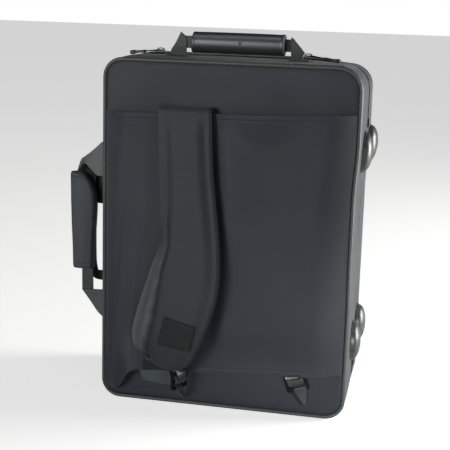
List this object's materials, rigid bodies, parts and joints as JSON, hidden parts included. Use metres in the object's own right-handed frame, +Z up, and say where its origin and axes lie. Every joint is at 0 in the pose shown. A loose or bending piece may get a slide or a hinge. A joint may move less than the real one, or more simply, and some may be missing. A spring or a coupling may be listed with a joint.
{
  "type": "clarinet case",
  "caption": "Soft-covered clarinet case with rounded corners: zipped side-opening lid, gripped top handle, wrapped side handle, backpack straps, domed feet, padded wells and a music pocket.",
  "frame": {"origin": "on the ground under the middle of the deeper half, midway across the case's width", "axes": "+Z up, along the case's length as it stands on its short end; -Y towards the back with the straps, +Y towards the lid and its pocket; +X towards the cloth hinge and the feet, -X towards the side handle"},
  "size_m": [0.3558, 0.1973, 0.4131],
  "materials": {
    "nylon": "charcoal woven nylon over a stiffened, padded body",
    "strap_nylon": "charcoal nylon over foam, bound at the edges",
    "webbing": "black ribbed polypropylene webbing",
    "piping": "grey satin vinyl cord",
    "zip_tape": "black zip tape with moulded teeth",
    "plastic": "black satin to glossy moulded plastic",
    "foot_rubber": "grey moulded rubber with a soft sheen",
    "metal": "dark nickel-plated metal",
    "plush": "black plush over foam"
  },
  "bodies": {
    "base": {"back_panel": "nylon", "base_wall": "nylon", "base_piping": "piping", "base_zip": "zip_tape", "base_hinge_tape": "nylon", "zip_stop_upper_base": "nylon", "zip_stop_lower_base": "nylon", "foot_base_upper": "foot_rubber", "foot_base_lower": "foot_rubber", "foot_screw_base_upper": "metal", "foot_screw_base_lower": "metal", "floor_pad": "plush", "well_block": "plush", "handle_patch_left": "webbing", "handle_patch_right": "webbing", "side_loop_base": "webbing", "side_wrap": "nylon", "strap_sleeve": "nylon", "left_strap": "strap_nylon", "left_strap_webbing": "webbing", "left_buckle": "plastic", "left_tab": "webbing", "right_strap": "strap_nylon", "right_strap_webbing": "webbing", "right_buckle": "plastic", "right_tab": "webbing"},
    "lid": {"lid_panel": "nylon", "lid_wall": "nylon", "lid_piping": "piping", "lid_zip": "zip_tape", "lid_hinge_tape": "nylon", "zip_stop_upper_lid": "nylon", "zip_stop_lower_lid": "nylon", "foot_lid_upper": "foot_rubber", "foot_lid_lower": "foot_rubber", "foot_screw_lid_upper": "metal", "foot_screw_lid_lower": "metal", "lid_pad": "plush", "side_loop_lid": "webbing", "pocket_panel": "nylon", "pocket_zip": "zip_tape"},
    "top_handle": {"handle_webbing": "webbing", "handle_grip": "plastic", "handle_snap": "metal"},
    "left_slider": {"zip_slider_left": "metal"},
    "left_puller": {"zip_puller_left": "metal"},
    "right_slider": {"zip_slider_right": "metal"},
    "right_puller": {"zip_puller_right": "metal"},
    "pocket_slider": {"pocket_slider": "metal"},
    "pocket_puller": {"pocket_puller": "metal"}
  },
  "joints": [
    {"name": "lid_hinge", "type": "hinge", "parent": "base", "child": "lid", "pos_m": [0.1395, 0.049, 0.178], "axis": [0, 0, -1], "range_deg": [0, 100]},
    {"name": "handle_swing", "type": "hinge", "parent": "base", "child": "top_handle", "pos_m": [0, 0, 0.3882], "axis": [1, 0, 0], "range_deg": [-40, 35]},
    {"name": "left_slider_slide", "type": "slide", "parent": "base", "child": "left_slider", "axis": [1, 0, 0], "range_m": [0, 0.075]},
    {"name": "left_puller_swing", "type": "hinge", "parent": "left_slider", "child": "left_puller", "pos_m": [-0.104, 0.049, 0.38935], "axis": [0, 1, 0], "range_deg": [0, 165]},
    {"name": "right_slider_slide", "type": "slide", "parent": "base", "child": "right_slider", "axis": [-1, 0, 0], "range_m": [0, 0.02]},
    {"name": "right_puller_swing", "type": "hinge", "parent": "right_slider", "child": "right_puller", "pos_m": [0.073, 0.049, 0.38935], "axis": [0, -1, 0], "range_deg": [0, 165]},
    {"name": "pocket_slider_slide", "type": "slide", "parent": "lid", "child": "pocket_slider", "axis": [1, 0, 0], "range_m": [0, 0.15]},
    {"name": "pocket_puller_swing", "type": "hinge", "parent": "pocket_slider", "child": "pocket_puller", "pos_m": [-0.078, 0.10895, 0.3], "axis": [0, 0, 1], "range_deg": [0, 165]}
  ]
}
